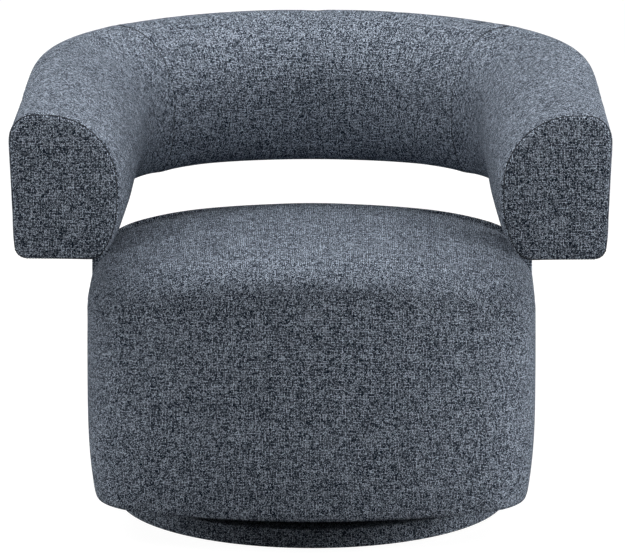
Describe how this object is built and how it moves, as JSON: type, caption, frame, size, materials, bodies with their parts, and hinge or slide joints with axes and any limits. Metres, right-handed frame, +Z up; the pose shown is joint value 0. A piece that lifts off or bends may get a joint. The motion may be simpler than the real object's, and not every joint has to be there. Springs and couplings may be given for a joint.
{
  "type": "swivel armchair",
  "caption": "Upholstered swivel accent chair: a crowned drum seat on a round recessed plinth, with one rounded back and arm bolster wrapping it on side risers.",
  "frame": {"origin": "on the floor, on the swivel axis, at the middle of the footprint", "axes": "+Z up, +X to the sitter's left as seen from the front (the viewer's right), +Y to the back of the chair"},
  "size_m": [0.89, 0.78, 0.692],
  "materials": {
    "upholstery": "slate blue tweed weave with pale flecks",
    "plywood": "unfinished birch plywood",
    "hardwood": "unfinished hardwood",
    "fibreboard": "thin hardboard",
    "steel": "black coated pressed steel",
    "bright_steel": "zinc plated",
    "bearing_plastic": "natural nylon",
    "glide_plastic": "black moulded plastic",
    "webbing": "elastic webbing",
    "dust_cloth": "black non-woven cloth",
    "felt": "grey needle felt"
  },
  "bodies": {
    "base": {"base_top_board": "plywood", "base_hoop": "plywood", "base_glide_blocks": "plywood", "floor_glides": "glide_plastic", "base_cover": "upholstery", "swivel_lower_plate": "steel", "swivel_pin": "bright_steel", "swivel_washer": "bright_steel", "swivel_nut": "bright_steel", "lower_plate_screws": "bright_steel"},
    "bearing_cage": {"ball_retainer": "bearing_plastic", "bearing_balls": "bright_steel"},
    "chair": {"swivel_upper_plate": "steel", "swivel_bush": "bearing_plastic", "upper_plate_screws": "bright_steel", "spacer_board": "plywood", "seat_floor_board": "plywood", "seat_top_ring": "plywood", "side_rails": "hardwood", "frame_skin": "fibreboard", "front_rail": "hardwood", "rear_rail": "hardwood", "corner_posts": "hardwood", "long_webbing": "webbing", "cross_webbing": "webbing", "seat_top_pad": "upholstery", "seat_side_wrap": "upholstery", "seat_dust_cover": "dust_cloth", "riser_board_right": "plywood", "riser_board_left": "plywood", "riser_pad_right": "felt", "riser_pad_left": "felt", "riser_cover_right": "upholstery", "riser_cover_left": "upholstery", "arm_blocks": "hardwood", "riser_lower_bolts": "bright_steel", "riser_lower_nuts": "bright_steel", "riser_upper_bolts": "bright_steel", "riser_upper_nuts": "bright_steel", "bolster_lower_board": "plywood", "bolster_upper_board": "plywood", "bolster_ribs": "plywood", "back_pad": "upholstery", "arm_pad_right": "upholstery", "arm_pad_left": "upholstery", "arm_end_pad_right": "upholstery", "arm_end_pad_left": "upholstery"}
  },
  "joints": [
    {"name": "swivel", "type": "hinge", "parent": "base", "child": "chair", "pos_m": [0, 0, 0.0437], "axis": [0, 0, 1], "continuous": true},
    {"name": "cage_turn", "type": "hinge", "parent": "base", "child": "bearing_cage", "pos_m": [0, 0, 0.0437], "axis": [0, 0, 1], "continuous": true}
  ],
  "couplings": [
    {"joint": "cage_turn", "follows": "swivel", "ratio": 0.5}
  ]
}
